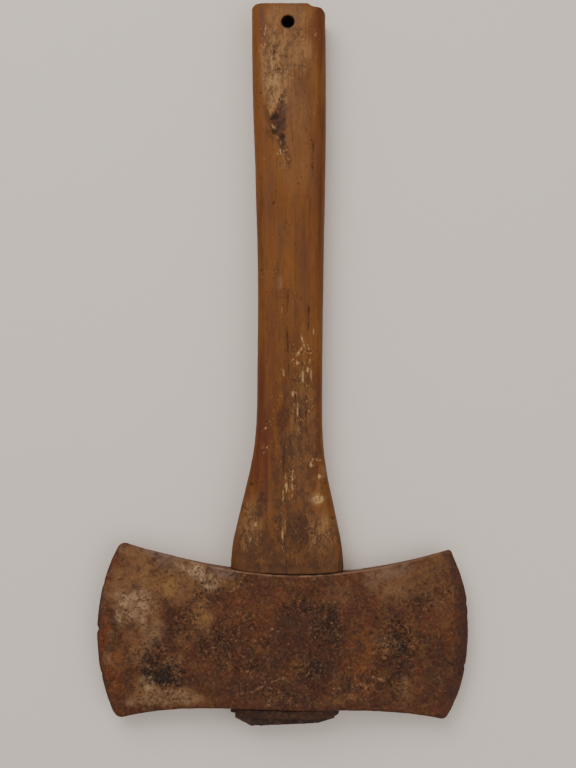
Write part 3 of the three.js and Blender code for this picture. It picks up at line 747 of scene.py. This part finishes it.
# Relief of the haft
GRAIN_HEIGHT, STREAK_HEIGHT, WEAR_HEIGHT, WOOD_LOSS = 0.09, 0.14, 0.16, 0.2
ROUGH_END_HEIGHT, CRACK_DEPTH, DINT_DEPTH, LIP_DEPTH, CRUST_DEPTH = 0.35, 0.5, 0.9, 0.45, 0.25
LIP_WIDTH, HOLE_SHADE_WIDTH, CRACK_WANDER = 1.3, 0.9, 0.7
# How fast the marks run on round the narrow sides, and how far below a face they start to.
HAFT_OVER, HAFT_OVER_START = 1.6, 5.0
# The lower face of the haft has its marks the other way up.
LOWER_FACE = (-1, -1.05, 447, -1)


def along_noise(at, y, size, seed):
    """Noise that changes only along the haft, on a line of its own for each place across it."""
    line = np.stack([np.full_like(y, at), y, np.zeros_like(y)], axis=1)
    return noise(line, size, seed, 2)


def finish_haft(piece):
    co, normal = read(piece)
    x, y, z = co.T
    tenon = y < SHOULDER - 2
    half_width, half = haft_section(y)[:2]
    height = z - MIDDLE - np.where(tenon, 0, haft_sink(y))

    over = x + HAFT_OVER * normal[:, 0] * np.maximum(half - np.abs(height) - HAFT_OVER_START, 0)
    upper, lower = (over, y), rearranged(over, y, *LOWER_FACE)
    lined = co / np.array([1, 9, 1])
    ragged = 0.28 * noise(lined, 4.5, 23) + 0.14 * noise(lined, 1.6, 24, 3)
    share = smoothstep(height / half + 0.2 * ragged, -0.3, 0.3)
    masks = both_faces(HAFT_MARKS, upper, lower, share, ragged)
    px, py = np.where(height < 0, lower, upper)

    crack = np.zeros(len(co))
    wander = CRACK_WANDER * along_noise(0, y, 24, 25)
    for at, low, high, width, strength in CRACKS:
        fade = 0.3 * (high - low)
        along = smoothstep(py, low, low + fade) * (1 - smoothstep(py, high - fade, high))
        broken = 0.75 + 0.4 * along_noise(at, y, 5, 26)
        line = np.exp(-((px - at - wander) / width) ** 2)
        crack = np.maximum(crack, strength * along * broken * line)
    crack *= np.abs(normal[:, 2]) > 0.4
    dint = np.zeros(len(co))
    for at_x, at_y, radius, strength in DINTS:
        gap = np.maximum(np.hypot(px - at_x, py - at_y) / radius + 1.2 * ragged, 0)
        dint = np.maximum(dint, strength * np.exp(-gap ** 2) * (normal[:, 2] > 0.4))

    # Relief only sinks below the smooth form. The kerf and the hole's wall stay smooth.
    grain = GRAIN_HEIGHT * noise(lined, 1.7, 27, 3) + STREAK_HEIGHT * noise(lined, 6, 28, 2)
    wear = WEAR_HEIGHT * noise(co, 30, 29, 2)
    rough_end = ROUGH_END_HEIGHT * smoothstep(-y, -SHOULDER, WAIST_TOP) * noise(co, 2.4, 30, 3)
    hole_gap = np.hypot(x - haft_bow(HOLE_Y) - HOLE_OFFSET, y - HOLE_Y) - HOLE_DIAMETER / 2
    lip = np.clip(1 - hole_gap / LIP_WIDTH, 0, 1) ** 2 * (np.abs(normal[:, 2]) > 0.5)
    crust = masks["stain"] * smoothstep(noise(co, 2.2, 31, 3), 0.1, 0.5)
    move = grain + wear + np.where(tenon, rough_end, 0) - WOOD_LOSS
    move -= CRACK_DEPTH * crack + DINT_DEPTH * dint + LIP_DEPTH * lip + CRUST_DEPTH * crust
    in_kerf = tenon & (np.abs(z - MIDDLE) < KERF_MOUTH / 2 + 0.01) & (np.abs(x) < EYE_LENGTH / 2 - 2)
    in_hole = hole_gap < 0.05

    # The swell's underside sits down on the head.
    above_head = y - top_side(x) + x * math.sin(SKEW)
    seated = (above_head > FIT_GAP - 0.02) * (1 - smoothstep(above_head, SEAT_HEIGHT, SEAT_FADE))
    move = np.where(in_kerf | in_hole, 0, np.minimum(move, 0)) * (1 - SEAT_HOLD * seated)
    co = co + normal * move[:, None]
    co[:, 1] -= FIT_GAP * seated

    # The tenon's left corner is worn, and the haft's two sides are uneven.
    at_left = smoothstep(-x, EYE_LENGTH / 2 - TENON_WEAR_RUN, EYE_LENGTH / 2)
    at_tenon_end = 1 - smoothstep(y, TENON_END, TENON_END + TENON_WEAR_RISE)
    co[:, 1] += TENON_LEFT_WEAR * at_left * at_tenon_end
    across = (x - haft_bow(y)) / half_width * smoothstep(y, SHOULDER - 0.5, SHOULDER + 1.5)
    left, right = (np.interp(y, *zip(*side)) for side in (LEFT_SIDE, RIGHT_SIDE))
    co[:, 0] += across * np.where(across < 0, left, right)

    masks["crack"] = np.maximum(crack, 1.5 * dint)
    # The tenon is darkened by dirt and painted shade, and a band of painted shade runs along the swell's
    # foot where it meets the head.
    masks["dirt_and_shade"] = np.maximum(tenon, 0.3 * (1 - smoothstep(y, SHOULDER + 1, SHOULDER + 5)))
    masks["endgrain"] = smoothstep(np.abs(normal[:, 1]), 0.5, 0.85)
    masks["hole"] = np.clip(1 - hole_gap / HOLE_SHADE_WIDTH, 0, 1)
    write(piece, co, masks, 50)


def wedge_piece():
    half = WEDGE_WIDTH / 2
    inner = half - WEDGE_CORNER
    x = np.concatenate([
        np.linspace(-half, -inner, 14), np.linspace(-inner, inner, 54)[1:-1], np.linspace(inner, half, 14),
    ])[:, None]
    tip = KERF_DEPTH - WEDGE_TIP_GAP
    depth = np.concatenate([np.linspace(-WEDGE_PROUD, 0, 9), np.linspace(0, tip, 20)[1:]])[None, :]
    out = np.clip(-depth / WEDGE_PROUD, 0, 1)
    corner = WEDGE_CORNER_RISE * np.clip((np.abs(x) - inner) / WEDGE_CORNER, 0, 1)
    worn = WEDGE_LEFT_WEAR * np.clip((-x - inner) / WEDGE_CORNER, 0, 1)
    y = TENON_END + depth + out * (corner + worn + WEDGE_SLANT * x)
    opening = blend(KERF_MOUTH, KERF_TIP, np.maximum(depth, 0) / KERF_DEPTH)
    z = np.broadcast_to(opening / 2 - FIT_GAP, y.shape)
    top = np.stack([np.broadcast_to(x, y.shape), y, z], axis=2)
    return block("wedge_detail", top, 9)


def finish_wedge(piece):
    co, normal = read(piece)
    proud = smoothstep(-co[:, 1], -TENON_END, -TENON_END + WEDGE_PROUD)
    move = np.minimum(0.32 * noise(co, 4.5, 41, 3) - 0.3, 0) * proud
    co = co + normal * move[:, None]
    co[:, 0] += EYE_OFFSET
    write(piece, skewed(*co.T), {}, 45)


# Materials

def linear(red, green, blue):
    """A colour given as it looks on a screen, 0 to 255, as the numbers that a shader takes."""
    def one(v):
        v /= 255
        return v / 12.92 if v <= 0.04045 else ((v + 0.055) / 1.055) ** 2.4
    return one(red), one(green), one(blue), 1


class Shader:
    """A material that is built up in layers of colour."""

    def __init__(self, name):
        self.material = bpy.data.materials.new(name)
        self.material.use_nodes = True
        self.tree = self.material.node_tree
        self.surface = self.tree.nodes["Principled BSDF"]
        self.place = self.node("TexCoord").outputs["Object"]
        self.colour = None

    def fill(self, node, **inputs):
        """Sets a value on each input that is named, or links it where the value is a socket."""
        for name, value in inputs.items():
            socket = node.inputs[name.replace("_", " ")]
            if isinstance(value, bpy.types.NodeSocket):
                self.tree.links.new(value, socket)
            else:
                socket.default_value = value

    def node(self, kind, **inputs):
        node = self.tree.nodes.new("ShaderNode" + kind)
        self.fill(node, **inputs)
        return node

    def mask(self, name):
        node = self.node("Attribute")
        node.attribute_name = name
        return node.outputs["Fac"]

    def noise(self, size, detail=4, rough=0.6, stretch=(1, 1, 1), seed=0.0, warp=0.0):
        """Noise with features of a size in millimetres, drawn out along the axes by stretch."""
        scale = [1 / (size * MM * s) for s in stretch]
        shift = (seed, 1.7 * seed, -0.6 * seed)
        place = self.node("Mapping", Vector=self.place, Scale=scale, Location=shift).outputs["Vector"]
        node = self.node("TexNoise", Vector=place, Scale=1, Detail=detail, Roughness=rough, Distortion=warp)
        return node.outputs["Fac"]

    def math(self, operation, a, b):
        node = self.node("Math")
        node.operation = operation
        for value, socket in zip((a, b), node.inputs):
            if isinstance(value, (int, float)):
                socket.default_value = value
            else:
                self.tree.links.new(value, socket)
        return node.outputs["Value"]

    def times(self, a, b):
        return self.math("MULTIPLY", a, b)

    def plus(self, a, b):
        return self.math("ADD", a, b)

    def step(self, value, low, high, start=0.0, end=1.0):
        """start below low, end above high, and smooth between them."""
        node = self.node("MapRange", Value=value, From_Min=low, From_Max=high, To_Min=start, To_Max=end)
        node.interpolation_type = "SMOOTHSTEP"
        return node.outputs["Result"]

    def ramp(self, value, stops):
        """Starts the layers with a ramp of colours."""
        node = self.node("ValToRGB", Fac=value)
        elements = node.color_ramp.elements
        while len(elements) < len(stops):
            elements.new(0.5)
        for element, (position, colour) in zip(elements, stops):
            element.position = position
            element.color = linear(*colour)
        self.colour = node.outputs["Color"]

    def paint(self, tint, amount):
        """Lays a colour over what is there by an amount from 0 to 1."""
        node = self.node("Mix")
        node.data_type = "RGBA"
        self.fill(node, A=self.colour, B=linear(*tint), Factor=amount)
        self.colour = node.outputs["Result"]

    def patches(self, pattern, layers):
        """Paints masks in turn: mask, colour, and the step that lets the pattern through."""
        for name, tint, *reach in layers:
            self.paint(tint, self.times(self.mask(name), self.step(pattern, *reach)))

    def bump(self, height, depth, strength, **under):
        """Relief by shading alone, on top of another bump that is given as Normal."""
        node = self.node("Bump", Height=height, Distance=depth * MM, Strength=strength, **under)
        return node.outputs["Normal"]

    def finish(self, roughness, normal):
        self.fill(self.surface, Base_Color=self.colour, Roughness=roughness, Normal=normal)
        return self.material


def rusted_steel():
    s = Shader("rusted_steel")
    s.surface.inputs["Metallic"].default_value = 0.0
    s.surface.inputs["Specular IOR Level"].default_value = 0.2
    broad = s.noise(17, 5, 0.58)
    middle = s.noise(6.0, 5, 0.62, seed=3.1)
    fine = s.noise(1.8, 4, 0.7, seed=7.7)
    mottle = s.noise(4.4, 5, 0.68, seed=44.0, warp=1.4)
    grit = s.noise(1.5, 3, 0.62, seed=12.3, warp=0.8)
    chips = s.noise(1.7, 3, 0.6, seed=21.0, warp=0.8)
    ashes = s.noise(1.5, 3, 0.65, seed=71.0, warp=0.6)
    ruddy = s.noise(8.0, 4, 0.6, seed=61.0, warp=0.6)
    speckled, pale, soot = s.mask("speckled"), s.mask("pale"), s.mask("soot")

    # Rust that is redder here and browner there, and then the patches, among them painted shade low on the
    # cheeks and a painted sheen along the upper rims and the left edge.
    tone = s.times(s.plus(broad, middle), 0.5)
    s.ramp(tone, [(0.36, (60, 32, 19)), (0.5, (80, 46, 26)), (0.64, (98, 60, 35))])
    s.paint((94, 46, 32), s.step(ruddy, 0.5, 0.66, 0.0, 0.5))
    s.paint((88, 66, 40), s.step(ruddy, 0.5, 0.36, 0.0, 0.4))
    s.patches(middle, [
        ("orange", (112, 58, 28), 0.36, 0.6, 0.2, 0.8), ("dark", (61, 34, 23), 0.68, 0.36, 0.4, 0.95),
        ("tan", (116, 81, 52), 0.32, 0.56, 0.3, 0.95), ("ochre", (134, 97, 54), 0.38, 0.6, 0.15, 0.8),
        ("pale", (133, 105, 79), 0.34, 0.58, 0.25, 0.9), ("rim_sheen", (110, 89, 80), 0.35, 0.6, 0.3, 0.95),
    ])

    # Dark and light mottling, which is weaker on the pale rust.
    calm = s.step(s.math("MAXIMUM", s.mask("tan"), pale), 0.2, 0.9, 1.0, 0.45)
    busy = s.times(s.step(speckled, 0.0, 0.8, 0.42, 1.0), calm)
    s.paint((42, 24, 16), s.times(s.step(mottle, 0.51, 0.36), busy))
    s.paint((126, 92, 62), s.times(s.step(mottle, 0.53, 0.69), s.times(busy, 0.85)))
    s.paint((44, 25, 18), s.times(s.step(fine, 0.5, 0.34, 0.0, 0.45), calm))
    s.paint((124, 90, 62), s.step(fine, 0.52, 0.68, 0.0, 0.3))

    # Chalky crust, soot and ash.
    s.paint((180, 154, 124), s.times(s.times(s.step(pale, 0.4, 1.0), s.step(mottle, 0.46, 0.62)), 0.6))
    sooty = s.plus(soot, s.times(s.plus(fine, -0.5), 3.0))
    s.paint((31, 21, 15), s.step(sooty, 0.3, 1.1, 0.0, 0.93))
    s.paint((116, 100, 86), s.times(soot, s.step(ashes, 0.54, 0.66, 0.0, 0.42)))

    # Pits, specks and flecks, then the scratches, a painted highlight along the top rim, and painted shade
    # on the bevels and along the cutting edges.
    s.paint((36, 21, 15), s.times(s.mask("pit"), 0.4))
    specks = s.step(s.plus(grit, s.times(speckled, 0.1)), 0.6, 0.72)
    s.paint((32, 19, 13), s.times(specks, 0.75))
    flecks = s.step(s.plus(chips, s.times(speckled, 0.06)), 0.63, 0.75)
    s.paint((142, 108, 76), s.times(flecks, 0.6))
    s.patches(fine, [("scratch", (150, 116, 86), 0.42, 0.6, 0.0, 0.6)])
    # The lip mask is a painted highlight on the top rim, and the edge mask is painted shade on the bevels
    # and cutting edges.
    s.patches(middle, [
        ("lip", (140, 108, 86), 0.36, 0.6, 0.2, 0.75), ("edge", (60, 36, 31), 0.3, 0.7, 0.9, 0.5),
    ])
    relief = s.plus(fine, s.times(specks, -0.6))
    normal = s.bump(relief, 0.5, 0.8, Normal=s.bump(mottle, 0.7, 0.6))
    return s.finish(s.step(middle, 0.35, 0.65, 0.6, 0.82), normal)


def worn_hickory():
    s = Shader("worn_hickory")
    s.surface.inputs["Specular IOR Level"].default_value = 0.2
    along = (1, 14, 1)
    broad = s.noise(11, 4, 0.55, (1, 4.5, 1), seed=1.3)
    streak = s.noise(3.6, 5, 0.58, along, seed=5.2, warp=0.3)
    fibre = s.noise(1.0, 4, 0.65, along, seed=9.4)
    grit = s.noise(1.3, 3, 0.62, (1, 1.7, 1), seed=15.0)
    blotch = s.noise(4.0, 4, 0.66, (1, 1.9, 1), seed=19.0)
    fine = s.noise(1.7, 4, 0.66, (1, 1.6, 1), seed=23.0, warp=0.8)
    flakes = s.noise(1.25, 3, 0.6, (1, 1.5, 1), seed=27.0)
    scraps = s.noise(1.6, 3, 0.6, (1, 2.4, 1), seed=33.0)
    pores = s.noise(2.2, 4, 0.65, seed=41.0)
    stain, grimy, dirt_and_shade, paint = s.mask("stain"), s.mask("grime"), s.mask("dirt_and_shade"), s.mask("paint")

    # Bare wood, and where it is worn or weathered.
    tone = s.times(s.plus(broad, streak), 0.5)
    s.ramp(tone, [(0.34, (84, 46, 17)), (0.5, (102, 60, 22)), (0.66, (118, 73, 31))])
    s.patches(streak, [
        ("orange", (114, 65, 20), 0.3, 0.6, 0.3, 0.9), ("red", (84, 37, 16), 0.65, 0.35, 0.4, 0.95),
    ])
    worn = s.times(s.step(streak, 0.32, 0.58, 0.45, 1.0), s.step(fine, 0.34, 0.54, 0.3, 1.0))
    s.paint((152, 115, 76), s.times(s.mask("worn_tan"), worn))
    s.patches(blotch, [("grey", (92, 61, 37), 0.35, 0.6, 0.35, 0.95)])
    s.paint((64, 32, 8), s.times(s.step(fibre, 0.5, 0.34), 0.28))

    # Stain with a dark crust, grime from handling, the tenon darkened by dirt and painted shade, and a band
    # of painted shade where the swell meets the head.
    ragged_stain = s.plus(stain, s.times(s.plus(grit, -0.5), 2.2))
    s.paint((62, 30, 9), s.step(ragged_stain, 0.1, 1.0, 0.0, 0.9))
    s.paint((28, 17, 13), s.times(s.step(stain, 0.2, 0.8), s.step(fine, 0.5, 0.66, 0.0, 0.85)))
    blotches = s.step(s.plus(blotch, s.times(grimy, 0.12)), 0.52, 0.68)
    s.paint((67, 41, 23), s.times(blotches, s.step(grimy, 0.0, 1.0, 0.15, 0.7)))
    s.paint((50, 31, 22), s.times(dirt_and_shade, s.step(blotch, 0.3, 0.6, 0.85, 1.0)))
    s.paint((86, 57, 37), s.times(dirt_and_shade, s.step(pores, 0.46, 0.62, 0.0, 0.6)))
    s.paint((70, 44, 26), s.times(s.mask("endgrain"), 0.35))
    specks = s.step(s.plus(grit, s.times(grimy, 0.05)), 0.65, 0.72)
    s.paint((48, 27, 14), s.times(specks, 0.6))
    s.paint((34, 19, 11), s.step(s.mask("crack"), 0.12, 0.8, 0.0, 0.75))
    s.paint((16, 10, 7), s.times(s.mask("hole"), 0.8))

    # What is left of old paint.
    chips = s.step(s.plus(flakes, s.times(paint, 0.13)), 0.66, 0.76)
    s.paint((152, 118, 76), s.times(chips, s.step(paint, 0.0, 0.8, 0.3, 0.85)))
    cream = s.times(s.step(s.mask("cream"), 0.25, 0.7), s.step(scraps, 0.42, 0.56))
    s.paint((176, 144, 100), s.times(cream, 0.7))
    relief = s.math("SUBTRACT", chips, s.plus(s.mask("crack"), specks))
    normal = s.bump(relief, 0.3, 0.6, Normal=s.bump(fibre, 0.25, 0.5))
    return s.finish(s.step(streak, 0.3, 0.7, 0.48, 0.66), normal)


def dirty_shaded_wedge():
    s = Shader("dirty_shaded_wedge")
    # Dirty wood, its dark tones partly painted shade.
    streak = s.noise(2.6, 5, 0.65, (1, 5, 1), seed=2.0)
    s.ramp(streak, [(0.35, (42, 24, 17)), (0.5, (62, 37, 25)), (0.66, (86, 54, 36))])
    s.paint((32, 19, 15), s.step(s.noise(3.5, 4, 0.6, seed=8.0), 0.62, 0.4, 0.0, 0.8))
    s.paint((120, 94, 68), s.step(s.noise(1.3, 3, 0.6, seed=14.0), 0.62, 0.74, 0.0, 0.5))
    return s.finish(0.82, s.bump(streak, 0.4, 0.7))


def dress(piece, node, material):
    piece.data.materials.clear()
    piece.data.materials.append(material)
    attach(piece, "root")
    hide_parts(node)


head = head_piece()
finish_head(head)
dress(head, "axe_head", rusted_steel())

haft = haft_piece()
co, _ = read(haft)
haft.data.vertices.foreach_set("co", bend_haft(co).ravel())
cut_haft(haft)
finish_haft(haft)
dress(haft, "haft", worn_hickory())

wedge = wedge_piece()
finish_wedge(wedge)
dress(wedge, "wedge", dirty_shaded_wedge())


# Floor, lights and camera, in metres

FLOOR_HALF, FLOOR_DROP = 12.0, 0.0002
WARM_WHITE, KEY_WHITE = (1.0, 0.97, 0.93), (1.0, 0.96, 0.9)
WORLD_STRENGTH = 0.45
# The camera's height is over the axe's middle plane, and its lens is for a picture this many pixels high.
TILT = math.radians(5.2)
CAMERA_X, CAMERA_Y, CAMERA_HEIGHT = 0.0005, 0.09605, 0.693
FOCAL_PIXELS, PICTURE_PIXELS, SENSOR = 1100, 768, 36


def floor():
    corners = [(x * FLOOR_HALF, y * FLOOR_HALF, 0) for x, y in ((-1, -1), (1, -1), (1, 1), (-1, 1))]
    mesh = bpy.data.meshes.new("floor")
    mesh.from_pydata(corners, [], [(0, 1, 2, 3)])
    plane = add("floor", mesh)
    plane.location.z = cad_box[0][2] - FLOOR_DROP
    material = bpy.data.materials.new("pale_floor")
    material.use_nodes = True
    surface = material.node_tree.nodes["Principled BSDF"]
    surface.inputs["Base Color"].default_value = linear(221, 211, 203)
    surface.inputs["Roughness"].default_value = 0.85
    mesh.materials.append(material)


def area_light(name, place, target, size, watts, colour):
    light = bpy.data.lights.new(name, "AREA")
    light.size = size
    light.energy = watts
    light.color = colour
    lamp = add(name, light)
    lamp.location = place
    lamp.rotation_euler = (Vector(target) - Vector(place)).to_track_quat("-Z", "Y").to_euler()


floor()
area_light("key", (-0.45, 1.15, 1.25), (0, 0.12, 0), 1.1, 16, KEY_WHITE)
area_light("fill", (0.9, -0.3, 1.2), (0, 0.1, 0), 1.2, 5, WARM_WHITE)
area_light("ceiling", (0, 0, 8), (0, 0, 0), 16, 305, WARM_WHITE)

world = bpy.data.worlds.new("studio")
world.use_nodes = True
background = world.node_tree.nodes["Background"]
background.inputs["Color"].default_value = (*WARM_WHITE, 1)
background.inputs["Strength"].default_value = WORLD_STRENGTH
bpy.context.scene.world = world

camera = bpy.data.cameras.new("camera")
camera.sensor_width = SENSOR
camera.lens = FOCAL_PIXELS * SENSOR / PICTURE_PIXELS
camera.clip_start = 0.01
viewer = add("camera", camera)
viewer.location = (CAMERA_X, CAMERA_Y, MIDDLE * MM + CAMERA_HEIGHT)
viewer.rotation_euler = (TILT, 0, 0)
bpy.context.scene.camera = viewer
